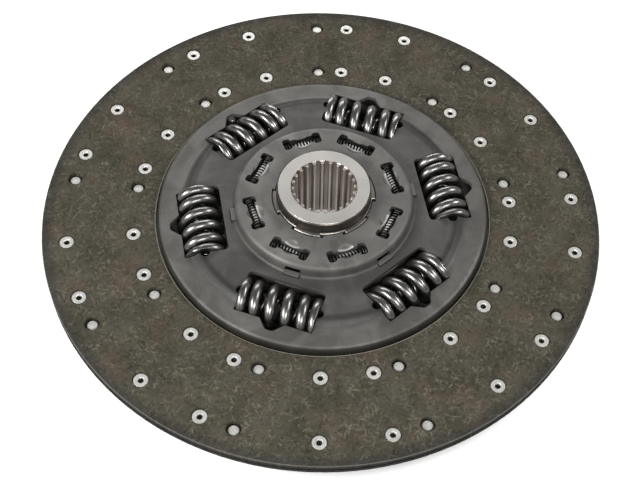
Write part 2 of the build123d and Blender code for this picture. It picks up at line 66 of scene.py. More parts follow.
# Camera: a product shot from above the near edge of the disc, a little left of the middle.
# The camera is tilted slightly about its own axis, and the picture is cut off-centre.
CAMERA_PLACE = Vector((-0.11124, -0.54595, 0.76775))
CAMERA_AIM = Vector((0.02666, -0.03296, 0.0047))
CAMERA_ROLL = math.radians(4.32)
CAMERA_LENS_MM = 68.3
CAMERA_SHIFT_X = -0.0711
CAMERA_NEAR = 0.01


def aimed(place, target):
    """Matrix of a camera or lamp that stands at a place and looks at a target."""
    look = (target - place).to_track_quat("-Z", "Y").to_matrix().to_4x4()
    return Matrix.Translation(place) @ look


camera = bpy.data.objects.new("studio_camera", bpy.data.cameras.new("studio_camera"))
scene.collection.objects.link(camera)
camera.matrix_world = aimed(CAMERA_PLACE, CAMERA_AIM) @ Matrix.Rotation(CAMERA_ROLL, 4, "Z")
camera.data.lens = CAMERA_LENS_MM
camera.data.shift_x = CAMERA_SHIFT_X
camera.data.clip_start = CAMERA_NEAR
scene.camera = camera


# Studio: a white floor under the disc, a dim sky, and four long strip lights round it that draw
# the bright streaks along the spring wires. The floor glows white to the camera and to metal, more
# so far off, and keeps the disc's shadow; under the bore it glows as well, a painted pool of light
# for the light that comes up through the bore.
FLOOR_REACH = 6.0
FLOOR_COLOR = (0.86, 0.86, 0.86, 1.0)
GLOW_COLOR = (1.0, 1.0, 1.0, 1.0)
FLOOR_GLOW = 0.35
FAR_GLOW = 0.60
FAR_FROM = 0.50
FAR_TO = 1.60
SHADE_REACH = 0.205
SHADE_BLUR = 0.010
BORE_REACH = 0.045
SKY_COLOR = (1.0, 1.0, 1.0, 1.0)
SKY_STRENGTH = 0.20
SKY_SEEN = 1.0
STRIP_LIGHTS = (
    # name, place, long side, short side, watts
    ("strip_left", (-1.00, -0.35, 0.80), 0.80, 0.30, 17.0),
    ("strip_right", (1.00, -0.15, 0.80), 0.60, 0.22, 7.0),
    ("strip_back", (0.10, 1.25, 0.70), 1.20, 0.30, 9.0),
    ("strip_front", (0.05, -1.15, 1.00), 0.80, 0.30, 12.0),
)


def add(tree, kind, **values):
    """New node: a key with a capital is an input, underscores for spaces; others are settings."""
    node = tree.nodes.new(kind)
    for key, value in values.items():
        if key[0].isupper():
            node.inputs[key.replace("_", " ")].default_value = value
        else:
            setattr(node, key, value)
    return node


def feed(tree, socket, value):
    """Link an output into a socket, or set a plain value on it."""
    if isinstance(value, bpy.types.NodeSocket):
        tree.links.new(value, socket)
    else:
        socket.default_value = value


def work_out(tree, operation, *values):
    """Math node on outputs or plain numbers."""
    node = add(tree, "ShaderNodeMath", operation=operation)
    for socket, value in zip(node.inputs, values):
        feed(tree, socket, value)
    return node.outputs["Value"]


def ramp(tree, value, start, end, low=0.0, high=1.0, soft=True):
    """Go from low to high while the value goes from start to end, with soft or sharp turns."""
    node = add(tree, "ShaderNodeMapRange",
               interpolation_type="SMOOTHSTEP" if soft else "LINEAR")
    for name, given in (("Value", value), ("From Min", start), ("From Max", end),
                        ("To Min", low), ("To Max", high)):
        feed(tree, node.inputs[name], given)
    return node.outputs["Result"]


def new_material(name):
    """Material with an empty node tree but for its shader and output."""
    material = bpy.data.materials.new(name)
    material.use_nodes = True
    tree = material.node_tree
    tree.nodes.clear()
    output = add(tree, "ShaderNodeOutputMaterial")
    shader = add(tree, "ShaderNodeBsdfPrincipled")
    tree.links.new(shader.outputs["BSDF"], output.inputs["Surface"])
    return material, tree, shader


floor_low = cad_box[0][2]
corner = FLOOR_REACH / 2
floor_mesh = bpy.data.meshes.new("studio_floor")
floor_mesh.from_pydata(
    [(-corner, -corner, floor_low), (corner, -corner, floor_low),
     (corner, corner, floor_low), (-corner, corner, floor_low)], [], [(0, 1, 2, 3)])
floor = bpy.data.objects.new("studio_floor", floor_mesh)
scene.collection.objects.link(floor)
floor_material, tree, shader = new_material("studio_floor")
shader.inputs["Base Color"].default_value = FLOOR_COLOR
shader.inputs["Roughness"].default_value = 1.0
shader.inputs["Specular IOR Level"].default_value = 0.0
shader.inputs["Emission Color"].default_value = GLOW_COLOR
reach = add(tree, "ShaderNodeVectorMath", operation="LENGTH")
tree.links.new(add(tree, "ShaderNodeTexCoord").outputs["Object"], reach.inputs[0])
from_middle = reach.outputs["Value"]
clear = ramp(tree, from_middle, SHADE_REACH, SHADE_REACH + SHADE_BLUR, high=FLOOR_GLOW,
             soft=False)
# Painted light: the floor glows under the bore, inside the disc's shadow.
painted_light_under_bore = work_out(tree, "LESS_THAN", from_middle, BORE_REACH)
lit = work_out(tree, "MULTIPLY_ADD", painted_light_under_bore, FLOOR_GLOW, clear)
far_off = ramp(tree, from_middle, FAR_FROM, FAR_TO, high=FAR_GLOW, soft=False)
path = add(tree, "ShaderNodeLightPath")
seen = work_out(tree, "MAXIMUM", path.outputs["Is Camera Ray"], path.outputs["Is Glossy Ray"])
glow = work_out(tree, "MULTIPLY", seen, work_out(tree, "ADD", lit, far_off))
tree.links.new(glow, shader.inputs["Emission Strength"])
floor_mesh.materials.append(floor_material)

world = bpy.data.worlds.new("studio_sky")
world.use_nodes = True
tree = world.node_tree
sky = tree.nodes["Background"]
sky.inputs["Color"].default_value = SKY_COLOR
sky_path = add(tree, "ShaderNodeLightPath")
sky_level = ramp(tree, sky_path.outputs["Is Camera Ray"], 0.0, 1.0, low=SKY_STRENGTH,
                 high=SKY_SEEN, soft=False)
tree.links.new(sky_level, sky.inputs["Strength"])
scene.world = world

for light_name, place, long_side, short_side, watts in STRIP_LIGHTS:
    light = bpy.data.lights.new(light_name, "AREA")
    light.shape = "RECTANGLE"
    light.size = long_side
    light.size_y = short_side
    light.energy = watts
    lamp = bpy.data.objects.new(light_name, light)
    scene.collection.objects.link(lamp)
    lamp.matrix_world = aimed(Vector(place), Vector((0.0, 0.0, 0.0)))


# Cushion segments and drive plate: fans of blued spring steel, riveted to a thick rolled plate.
# They sit between the facings and under the covers, so only edges and slots of them show.
BLUED_STEEL = (0.11, 0.115, 0.13, 1.0)
BLUED_WORN = (0.26, 0.25, 0.24, 1.0)
PLATE_STEEL = (0.10, 0.10, 0.10, 1.0)
GRAIN_SHARE = 0.35
CLOUD_SHARE = 0.65
CLOUD_DARKEST = 0.35
CLOUD_LIGHTEST = 0.65
WORN_EDGE = 0.0004
SEGMENTS = 9


def node_group(name, inputs, outputs):
    """Shader node group with named sockets, and its input and output nodes."""
    group = bpy.data.node_groups.new(name, "ShaderNodeTree")
    for socket_name, kind, value in inputs:
        socket = group.interface.new_socket(
            socket_name, in_out="INPUT", socket_type=f"NodeSocket{kind}")
        socket.default_value = value
    for socket_name, kind in outputs:
        group.interface.new_socket(
            socket_name, in_out="OUTPUT", socket_type=f"NodeSocket{kind}")
    return group, add(group, "NodeGroupInput"), add(group, "NodeGroupOutput")


def place_group(tree, group, **values):
    """Put a shared group into a material with its own values."""
    return add(tree, "ShaderNodeGroup", node_tree=group, **values)


def noise(tree, coords, **settings):
    """Cloudy noise at the given coordinates."""
    texture = add(tree, "ShaderNodeTexNoise", **settings)
    tree.links.new(coords, texture.inputs["Vector"])
    return texture


def lay(tree, under, mask, over, blend="MIX"):
    """Lay a colour over another where the mask is on."""
    node = add(tree, "ShaderNodeMix", data_type="RGBA", blend_type=blend)
    for name, value in (("Factor", mask), ("A", under), ("B", over)):
        feed(tree, node.inputs[name], value)
    return node.outputs["Result"]


# Surface of most finishes: two sizes of cloudy tone, and a fine grain for the bump.
clouded_skin, enter, leave = node_group(
    "clouded_skin",
    [("Cloud Scale", "Float", 30.0), ("Grain Scale", "Float", 900.0),
     ("Dark", "Color", (0.1, 0.1, 0.1, 1.0)), ("Light", "Color", (0.2, 0.2, 0.2, 1.0)),
     ("Dull", "Float", 0.5), ("Shiny", "Float", 0.3)],
    [("Color", "Color"), ("Roughness", "Float"), ("Grain", "Float")])
coords = add(clouded_skin, "ShaderNodeTexCoord").outputs["Object"]
cloud = noise(clouded_skin, coords, Detail=5.0, Roughness=0.6)
grain = noise(clouded_skin, coords, Detail=3.0, Roughness=0.65)
clouded_skin.links.new(enter.outputs["Cloud Scale"], cloud.inputs["Scale"])
clouded_skin.links.new(enter.outputs["Grain Scale"], grain.inputs["Scale"])
soft_cloud = work_out(clouded_skin, "MULTIPLY", cloud.outputs["Fac"], CLOUD_SHARE)
clouded = work_out(clouded_skin, "MULTIPLY_ADD", grain.outputs["Fac"], GRAIN_SHARE, soft_cloud)
spread = ramp(clouded_skin, clouded, CLOUD_DARKEST, CLOUD_LIGHTEST, soft=False)
tone = lay(clouded_skin, enter.outputs["Dark"], spread, enter.outputs["Light"])
gloss = ramp(clouded_skin, spread, 0.0, 1.0, low=enter.outputs["Dull"],
             high=enter.outputs["Shiny"], soft=False)
clouded_skin.links.new(tone, leave.inputs["Color"])
clouded_skin.links.new(gloss, leave.inputs["Roughness"])
clouded_skin.links.new(grain.outputs["Fac"], leave.inputs["Grain"])

# Worn relief: the grain stands up from the surface, and wear has rounded the edges.
worn_relief, enter, leave = node_group(
    "worn_relief",
    [("Height", "Float", 0.5), ("Bump", "Float", 0.1), ("Depth", "Float", 0.0002),
     ("Edge", "Float", WORN_EDGE)],
    [("Normal", "Vector")])
rounded = add(worn_relief, "ShaderNodeBevel", samples=4)
worn_relief.links.new(enter.outputs["Edge"], rounded.inputs["Radius"])
relief = add(worn_relief, "ShaderNodeBump")
for name, source in (("Height", enter.outputs["Height"]), ("Strength", enter.outputs["Bump"]),
                     ("Distance", enter.outputs["Depth"]), ("Normal", rounded.outputs["Normal"])):
    worn_relief.links.new(source, relief.inputs[name])
worn_relief.links.new(relief.outputs["Normal"], leave.inputs["Normal"])


def clouded_finish(name, metallic, bump, bump_depth, **skin):
    """Finish made from the shared skin and relief, with its own colours and gloss."""
    material, tree, shader = new_material(name)
    surface = place_group(tree, clouded_skin, **skin)
    relief = place_group(tree, worn_relief, Bump=bump, Depth=bump_depth)
    tree.links.new(surface.outputs["Grain"], relief.inputs["Height"])
    tree.links.new(surface.outputs["Color"], shader.inputs["Base Color"])
    tree.links.new(surface.outputs["Roughness"], shader.inputs["Roughness"])
    tree.links.new(relief.outputs["Normal"], shader.inputs["Normal"])
    shader.inputs["Metallic"].default_value = metallic
    return material, tree, shader, surface.outputs["Color"]


def dress(node_name, material):
    """Give a CAD piece its finish."""
    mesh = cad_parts[node_name].data
    mesh.materials.clear()
    mesh.materials.append(material)


segment_finish = clouded_finish(
    "blued_spring_steel", metallic=0.85, bump=0.15, bump_depth=0.0002,
    Cloud_Scale=45.0, Grain_Scale=1200.0,
    Dark=BLUED_STEEL, Light=BLUED_WORN, Dull=0.42, Shiny=0.28)[0]
for number in range(1, SEGMENTS + 1):
    dress(f"cushion_segment_{number}", segment_finish)
plate_finish = clouded_finish(
    "rolled_plate_steel", metallic=0.8, bump=0.2, bump_depth=0.0002,
    Cloud_Scale=30.0, Grain_Scale=900.0,
    Dark=PLATE_STEEL, Light=BLUED_WORN, Dull=0.55, Shiny=0.4)[0]
dress("drive_plate", plate_finish)


# Friction facings: moulded rings of resin-bound yarn, glass and brass fibre, ground flat and
# riveted to the segments. Straw-coloured fibre ends and dark gaps lie in a grey-brown binder with
# reddish clouds. The outermost band is darker; the cut edges carry a painted highlight, the outer
# wall painted shade.
BINDER_DARK = (0.031, 0.0275, 0.0180, 1.0)
BINDER_LIGHT = (0.062, 0.0555, 0.040, 1.0)
BINDER_RED = (0.070, 0.049, 0.034, 1.0)
FIBRE_STRAW = (0.116, 0.108, 0.080, 1.0)
FIBRE_SHADOW = (0.62, 0.62, 0.56, 1.0)
OUTER_BAND_TINT = (0.60, 0.64, 0.72, 1.0)
PAINTED_WALL_SHADE = (0.34, 0.35, 0.38, 1.0)
PAINTED_EDGE_HIGHLIGHT = (0.215, 0.202, 0.170, 1.0)
OUTER_HIGHLIGHT_SHARE = 0.31
RED_FROM = 0.52
RED_TO = 0.70
PATCH_FROM = 0.34
PATCH_TO = 0.68
FIBRE_TURNS = (12.0, 48.0, 83.0, 121.0, 158.0)
FIBRE_SWAY = (0.004, 0.004, 0.0)
FIBRE_SOFTNESS = 0.15
EDGE_WIDTH = 0.0007
BORE_EDGE = 0.1298
OUTER_BAND_INSIDE = 0.203
facing_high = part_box("friction_facing_front")[1]
OUTER_EDGE = facing_high.x - EDGE_WIDTH
EDGE_LEVEL = facing_high.z - EDGE_WIDTH

# Fibre ends: noise stretched along several directions and bent a little, the strongest kept.
fibre_flecks, enter, leave = node_group(
    "fibre_flecks",
    [("Along", "Float", 130.0), ("Across", "Float", 430.0), ("Sparse", "Float", 0.60)],
    [("Fleck", "Float")])
coords = add(fibre_flecks, "ShaderNodeTexCoord").outputs["Object"]
sway = noise(fibre_flecks, coords, Scale=90.0, Detail=2.0)
bent = add(fibre_flecks, "ShaderNodeVectorMath", operation="MULTIPLY_ADD")
for socket, value in zip(bent.inputs, (sway.outputs["Color"], FIBRE_SWAY, coords)):
    feed(fibre_flecks, socket, value)
stretch = add(fibre_flecks, "ShaderNodeCombineXYZ")
fibre_flecks.links.new(enter.outputs["Along"], stretch.inputs["X"])
fibre_flecks.links.new(enter.outputs["Across"], stretch.inputs["Y"])
strongest = 0.0
for turn in FIBRE_TURNS:
    turned = add(fibre_flecks, "ShaderNodeVectorRotate", rotation_type="Z_AXIS",
                 Angle=math.radians(turn))
    fibre_flecks.links.new(bent.outputs["Vector"], turned.inputs["Vector"])
    scaled = add(fibre_flecks, "ShaderNodeVectorMath", operation="MULTIPLY")
    fibre_flecks.links.new(turned.outputs["Vector"], scaled.inputs[0])
    fibre_flecks.links.new(stretch.outputs["Vector"], scaled.inputs[1])
    lying = noise(fibre_flecks, scaled.outputs["Vector"], Scale=1.0, Detail=1.0, Roughness=0.45)
    strongest = work_out(fibre_flecks, "MAXIMUM", strongest, lying.outputs["Fac"])
sparse = enter.outputs["Sparse"]
fleck = ramp(fibre_flecks, strongest, sparse,
             work_out(fibre_flecks, "ADD", sparse, FIBRE_SOFTNESS))
fibre_flecks.links.new(fleck, leave.inputs["Fleck"])

# Place on the disc: distance from the hub axis and height over the middle of the friction ring,
# for finishes that change from ring to ring or from level to level.
place_on_disc, enter, leave = node_group(
    "place_on_disc", [], [("Radius", "Float"), ("Height", "Float")])
coords = add(place_on_disc, "ShaderNodeTexCoord").outputs["Object"]
flatten = add(place_on_disc, "ShaderNodeVectorMath", operation="MULTIPLY")
flatten.inputs[1].default_value = (1.0, 1.0, 0.0)
place_on_disc.links.new(coords, flatten.inputs[0])
length = add(place_on_disc, "ShaderNodeVectorMath", operation="LENGTH")
place_on_disc.links.new(flatten.outputs["Vector"], length.inputs[0])
place_on_disc.links.new(length.outputs["Value"], leave.inputs["Radius"])
levels = add(place_on_disc, "ShaderNodeSeparateXYZ")
place_on_disc.links.new(coords, levels.inputs["Vector"])
place_on_disc.links.new(levels.outputs["Z"], leave.inputs["Height"])


def shade(tree, color, mask, tint):
    """Darken a colour by a tint where the mask is on."""
    return lay(tree, color, mask, tint, blend="MULTIPLY")


def where(tree):
    """Radius and height of the surface point, from the shared group."""
    spot = place_group(tree, place_on_disc)
    return spot.outputs["Radius"], spot.outputs["Height"]


lining, tree, shader = new_material("friction_lining")
coords = add(tree, "ShaderNodeTexCoord").outputs["Object"]
binder = place_group(tree, clouded_skin, Cloud_Scale=46.0, Grain_Scale=420.0,
                     Dark=BINDER_DARK, Light=BINDER_LIGHT, Dull=0.92, Shiny=0.78)
red_cloud = noise(tree, coords, Scale=30.0, Detail=5.0, Roughness=0.65).outputs["Fac"]
red_share = ramp(tree, red_cloud, RED_FROM, RED_TO, soft=False)
color = lay(tree, binder.outputs["Color"], red_share, BINDER_RED)
gaps = place_group(tree, fibre_flecks, Along=130.0, Across=430.0, Sparse=0.60)
color = shade(tree, color, gaps.outputs["Fleck"], FIBRE_SHADOW)
flecks = place_group(tree, fibre_flecks, Along=150.0, Across=520.0, Sparse=0.60)
thick_and_thin = noise(tree, coords, Scale=110.0, Detail=3.0).outputs["Fac"]
patches = ramp(tree, thick_and_thin, PATCH_FROM, PATCH_TO, soft=False)
fleck_share = work_out(tree, "MULTIPLY", flecks.outputs["Fleck"], patches)
color = lay(tree, color, fleck_share, FIBRE_STRAW)
radius, height = where(tree)
tint_mask = ramp(tree, radius, OUTER_BAND_INSIDE, OUTER_EDGE)
color = shade(tree, color, tint_mask, OUTER_BAND_TINT)
inner_edge = work_out(tree, "LESS_THAN", radius, BORE_EDGE)
outer_edge = work_out(tree, "GREATER_THAN", radius, OUTER_EDGE)
beside_face = work_out(tree, "GREATER_THAN", work_out(tree, "ABSOLUTE", height), EDGE_LEVEL)
# Painted shade on the outer wall, between the two faces.
on_wall = work_out(tree, "GREATER_THAN", outer_edge, beside_face)
color = shade(tree, color, on_wall, PAINTED_WALL_SHADE)
# Painted highlight along the cut edges of bore and rim, beside the faces.
highlighted_edges = work_out(tree, "MULTIPLY_ADD", outer_edge, OUTER_HIGHLIGHT_SHARE, inner_edge)
color = lay(tree, color, work_out(tree, "MULTIPLY", highlighted_edges, beside_face), PAINTED_EDGE_HIGHLIGHT)
relief = add(tree, "ShaderNodeBump", Strength=0.35, Distance=0.0004)
tree.links.new(work_out(tree, "ADD", binder.outputs["Grain"], fleck_share),
               relief.inputs["Height"])
tree.links.new(color, shader.inputs["Base Color"])
tree.links.new(binder.outputs["Roughness"], shader.inputs["Roughness"])
tree.links.new(relief.outputs["Normal"], shader.inputs["Normal"])
shader.inputs["Specular IOR Level"].default_value = 0.25
for node_name in ("friction_facing_front", "friction_facing_rear"):
    dress(node_name, lining)


# Facing and segment rivets: semi-tubular, plated steel, their open ends rolled out into rings.
# The closed heads of the other facing's rivets show at the bottom of the access holes.
RIVET_PALE = (0.70, 0.69, 0.65, 1.0)
RIVET_GREY = (0.40, 0.39, 0.365, 1.0)
RIVET_BORE_PAINTED_SHADE = (0.03, 0.028, 0.025, 1.0)
RIVET_BORE_MIDDLE = 0.0012
RIVET_BORE_HALF_DEPTH = 0.0010
RIVET_SIDES = {"front_facing_rivets": 1.0, "rear_facing_rivets": -1.0, "segment_rivets": 0.0}
for node_name, side in RIVET_SIDES.items():
    rivet_finish, tree, shader, color = clouded_finish(
        f"plated_{node_name}", metallic=0.45, bump=0.3, bump_depth=0.0002,
        Cloud_Scale=420.0, Grain_Scale=1600.0,
        Dark=RIVET_GREY, Light=RIVET_PALE, Dull=0.42, Shiny=0.26)
    if side:
        height = where(tree)[1]
        # Painted shade down the open bore of each rivet.
        in_bore = work_out(tree, "COMPARE", height, side * RIVET_BORE_MIDDLE,
                           RIVET_BORE_HALF_DEPTH)
        tree.links.new(lay(tree, color, in_bore, RIVET_BORE_PAINTED_SHADE), shader.inputs["Base Color"])
    dress(node_name, rivet_finish)


# Cover plate and rear plate: deep-drawn sheet steel, phosphated dark grey and lightly oiled.
# Painted shade darkens them in rings, and darker patches are partly oil smears and partly painted
# reflection; the cover's scoops at its slots carry painted shade and a painted highlight, its slot
# walls painted shade. Lugs of the rear plate come up through cut-outs at the foot of the cover's
# dome and tie the two together; their sheared ends are bare.
PHOSPHATE_DARK = (0.096, 0.093, 0.086, 1.0)
PHOSPHATE_LIGHT = (0.172, 0.167, 0.154, 1.0)
OIL_AND_REFLECTION_MOTTLE = (0.72, 0.72, 0.73, 1.0)
SMEAR_FROM = 0.40
SMEAR_TO = 0.66
# Painted shade in rings: the terrace, the step's wall, the rim and the skirt are darkened by
# radius.
PAINTED_RING_SHADES = (
    # what, from radius, to radius, blur, shade
    ("painted shade on terrace", 0.068, 0.108, 0.003, (0.54, 0.54, 0.545, 1.0)),
    ("step", 0.1008, 0.1098, 0.0020, (0.46, 0.46, 0.46, 1.0)),
    ("rim", 0.1095, 0.1300, 0.0015, (0.77, 0.76, 0.75, 1.0)),
    ("skirt", 0.1262, 0.1300, 0.0006, (0.30, 0.28, 0.24, 1.0)),
)
SLOT_INSIDE = 0.044
SLOT_OUTSIDE = 0.0625
SLOT_BLUR = 0.0005
SLOT_MIDDLE = 0.0555
SCOOP_TOP = 0.0503
SCOOP_FOOT = 0.0521
SCOOP_PAINTED_SHADE = (0.80, 0.80, 0.79, 1.0)
SCOOP_PAINTED_HIGHLIGHT = (0.36, 0.355, 0.338, 1.0)
SLOT_WALL_PAINTED_SHADE = (0.25, 0.25, 0.25, 1.0)
UPRIGHT_SLOPE = 0.3
FACE_SKIN = 0.0001
DOME_FACE_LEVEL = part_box("cover_plate")[1].z - FACE_SKIN
SHEARED_STEEL = (0.125, 0.122, 0.116, 1.0)
SHEARED_DEPTH = 0.0006
LUG_END_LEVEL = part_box("rear_plate")[1].z - SHEARED_DEPTH

# Ring mask: on between two radii, with soft edges.
ring_mask, enter, leave = node_group(
    "ring_mask",
    [("Radius", "Float", 0.0), ("Inside", "Float", 0.05), ("Outside", "Float", 0.10),
     ("Blur", "Float", 0.001)],
    [("Mask", "Float")])
radius, inside, outside, blur = (enter.outputs[name]
                                 for name in ("Radius", "Inside", "Outside", "Blur"))
rising = ramp(ring_mask, radius, work_out(ring_mask, "SUBTRACT", inside, blur),
              work_out(ring_mask, "ADD", inside, blur))
falling = ramp(ring_mask, radius, work_out(ring_mask, "ADD", outside, blur),
               work_out(ring_mask, "SUBTRACT", outside, blur))
ring_mask.links.new(work_out(ring_mask, "MULTIPLY", rising, falling), leave.inputs["Mask"])

for node_name in ("cover_plate", "rear_plate"):
    pressing_finish, tree, shader, color = clouded_finish(
        f"phosphated_{node_name}", metallic=0.30, bump=0.10, bump_depth=0.0002,
        Cloud_Scale=32.0, Grain_Scale=1100.0,
        Dark=PHOSPHATE_DARK, Light=PHOSPHATE_LIGHT, Dull=0.58, Shiny=0.46)
    radius, height = where(tree)
    for what, inside, outside, blur, tint in PAINTED_RING_SHADES:
        ring = place_group(tree, ring_mask, label=what, Inside=inside, Outside=outside, Blur=blur)
        tree.links.new(radius, ring.inputs["Radius"])
        color = shade(tree, color, ring.outputs["Mask"], tint)
    coords = add(tree, "ShaderNodeTexCoord")
    # Darker patches: partly oil smears, partly painted reflection.
    oil = noise(tree, coords.outputs["Object"], Scale=26.0, Detail=3.0, Roughness=0.55,
                Distortion=1.6)
    oil_and_reflection_patches = ramp(tree, oil.outputs["Fac"], SMEAR_FROM, SMEAR_TO)
    color = shade(tree, color, oil_and_reflection_patches, OIL_AND_REFLECTION_MOTTLE)
    if node_name == "cover_plate":
        slots = place_group(tree, ring_mask, Inside=SLOT_INSIDE, Outside=SLOT_OUTSIDE,
                            Blur=SLOT_BLUR)
        tree.links.new(radius, slots.inputs["Radius"])
        below_face = work_out(tree, "LESS_THAN", height, DOME_FACE_LEVEL)
        in_dome = work_out(tree, "MULTIPLY", below_face, slots.outputs["Mask"])
        # Painted shade over the scoops and slots in the dome, and a painted highlight on the
        # scoops' hub-side slopes near the slot.
        color = shade(tree, color, in_dome, SCOOP_PAINTED_SHADE)
        to_slot = ramp(tree, radius, SCOOP_TOP, SCOOP_FOOT)
        hub_side = work_out(tree, "LESS_THAN", radius, SLOT_MIDDLE)
        on_slope = work_out(tree, "MULTIPLY", to_slot, hub_side)
        scoop_highlight_mask = work_out(tree, "MULTIPLY", on_slope, in_dome)
        color = lay(tree, color, scoop_highlight_mask, SCOOP_PAINTED_HIGHLIGHT)
        # Painted shade on the upright walls of the slots.
        slopes = add(tree, "ShaderNodeSeparateXYZ")
        tree.links.new(coords.outputs["Normal"], slopes.inputs["Vector"])
        upright = work_out(tree, "COMPARE", slopes.outputs["Z"], 0.0, UPRIGHT_SLOPE)
        slot_walls = work_out(tree, "MULTIPLY", in_dome, upright)
        color = shade(tree, color, slot_walls, SLOT_WALL_PAINTED_SHADE)
    else:
        lug_end = work_out(tree, "GREATER_THAN", height, LUG_END_LEVEL)
        color = lay(tree, color, lug_end, SHEARED_STEEL)
    tree.links.new(color, shader.inputs["Base Color"])
    dress(node_name, pressing_finish)


# Damper springs: six pairs of oil-tempered steel coils, one in the other and wound opposite ways.
# Their ends are closed and ground flat to sit against the window ends of the plates.
SPRING_DARK = (0.12, 0.117, 0.111, 1.0)
SPRING_LIGHT = (0.25, 0.245, 0.232, 1.0)
OIL_FILM = 0.7
OIL_FILM_ROUGHNESS = 0.23
MAIN_SPRINGS = 6
MAIN_COILS = {
    "outer": dict(mean=0.013246, wire=0.008003, active=3.7, ends=0.9, left=False,
                  around=24, per_turn=64),
    "inner": dict(mean=0.006742, wire=0.003605, active=6.4, ends=0.9, left=True,
                  around=16, per_turn=48),
}
CLOSED_PITCH = 1.04
COIL_START = math.pi
GROUND_EDGE = math.radians(40.0)
main_low, main_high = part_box("damper_spring_inner_1")
MAIN_RADIUS = (main_low.x + main_high.x) / 2
MAIN_HEIGHT = (main_low.z + main_high.z) / 2
MAIN_LENGTH = main_high.y - main_low.y


def coil_mesh(name, length, mean, wire, active, ends, left, around, per_turn):
    """Compression spring about +Y, its middle at the origin, with closed and ground ends."""
    closed = wire * CLOSED_PITCH
    pitch = (length - 2 * closed * ends) / active
    turns = active + 2 * ends
    count = int(turns * per_turn) + 1
    along = np.linspace(0.0, turns, count)
    knots = [0.0, ends, ends + active, turns]
    levels = [0.0, closed * ends, closed * ends + pitch * active, length]
    rise = np.interp(along, knots, levels)
    angle = 2 * np.pi * along * (-1.0 if left else 1.0) + COIL_START
    ring_angle = np.linspace(0.0, 2 * np.pi, around, endpoint=False)
    reach = mean + wire / 2 * np.cos(ring_angle)[None, :]
    x = reach * np.cos(angle)[:, None]
    z = -reach * np.sin(angle)[:, None]
    y = rise[:, None] + wire / 2 * np.sin(ring_angle)[None, :] - length / 2
    y = np.clip(y, -length / 2, length / 2)
    points = np.stack([x, y, z], axis=2).reshape(-1, 3)
    faces = []
    for i in range(count - 1):
        here, ahead = i * around, (i + 1) * around
        for j in range(around):
            k = (j + 1) % around
            quad = (here + j, here + k, ahead + k, ahead + j)
            faces.append(quad if left else quad[::-1])
    first = tuple(range(around))
    last = tuple(range((count - 1) * around, count * around))
    faces.append(first[::-1] if left else first)
    faces.append(last if left else last[::-1])
    mesh = bpy.data.meshes.new(name)
    mesh.from_pydata(points.tolist(), [], faces)
    from_middle = mesh.attributes.new("from_middle", "FLOAT", "POINT")
    from_middle.data.foreach_set("value", np.abs(points[:, 1] * 2 / length))
    mesh.validate()
    mesh.shade_smooth()
    mesh.set_sharp_from_angle(angle=GROUND_EDGE)
    return mesh


def set_springs(prefix, node_prefix, count, phase, radius, height, mesh, material):
    """Put copies of a coil in their windows, in place of the CAD coils: each rides on the damper
    cage.
    """
    for number in range(1, count + 1):
        turn = math.radians(phase + 360.0 * (number - 1) / count)
        place = Matrix.Rotation(turn, 4, "Z") @ Matrix.Translation((radius, 0.0, height))
        own = mesh.copy()
        own.transform(place)
        own.materials.append(material)
        piece = bpy.data.objects.new(f"{prefix}_{number}", own)
        scene.collection.objects.link(piece)
        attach(piece, "damper_cage")
        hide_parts(f"{node_prefix}_{number}")
        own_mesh(piece)


spring_finish, _, shader, _ = clouded_finish(
    "oiled_spring_steel", metallic=1.0, bump=0.10, bump_depth=0.0002,
    Cloud_Scale=120.0, Grain_Scale=1500.0,
    Dark=SPRING_DARK, Light=SPRING_LIGHT, Dull=0.38, Shiny=0.26)
shader.inputs["Coat Weight"].default_value = OIL_FILM
shader.inputs["Coat Roughness"].default_value = OIL_FILM_ROUGHNESS
for which, sizes in MAIN_COILS.items():
    coil = coil_mesh(f"damper_coil_{which}", MAIN_LENGTH, **sizes)
    set_springs(f"damper_coil_{which}", f"damper_spring_{which}", MAIN_SPRINGS, 0.0,
                MAIN_RADIUS, MAIN_HEIGHT, coil, spring_finish)


# Idle-damper springs: eight small coils of dark oiled wire in the dog-bone slots of the dome.
# They act first, while the hub turns in the free play of its lobes. Their middle turns carry a
# painted highlight on the hub side.
IDLE_SPRINGS = 8
IDLE_RADIUS = 0.055599
IDLE_PHASE = 7.7
IDLE_LENGTH = 0.030023
IDLE_COIL = dict(mean=0.00315, wire=0.0015, active=10.5, ends=1.0, left=False,
                 around=12, per_turn=28)
FINE_WIRE_DARK = (0.03, 0.03, 0.029, 1.0)
FINE_WIRE_LIGHT = (0.07, 0.069, 0.066, 1.0)
PAINTED_WIRE_HIGHLIGHT = (0.36, 0.357, 0.342, 1.0)
HIGHLIGHT_FROM = 0.56
HIGHLIGHT_TO = 0.40
HIGHLIGHT_OUTSIDE = IDLE_RADIUS + 0.0012
HIGHLIGHT_FULLY = IDLE_RADIUS + 0.0002
idle_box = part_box("idle_spring_1")
IDLE_HEIGHT = (idle_box[0][2] + idle_box[1][2]) / 2
idle_finish, tree, shader, color = clouded_finish(
    "oiled_fine_wire", metallic=0.9, bump=0.10, bump_depth=0.0001,
    Cloud_Scale=300.0, Grain_Scale=2500.0,
    Dark=FINE_WIRE_DARK, Light=FINE_WIRE_LIGHT, Dull=0.55, Shiny=0.4)
from_middle = add(tree, "ShaderNodeAttribute", attribute_name="from_middle").outputs["Fac"]
radius = where(tree)[0]
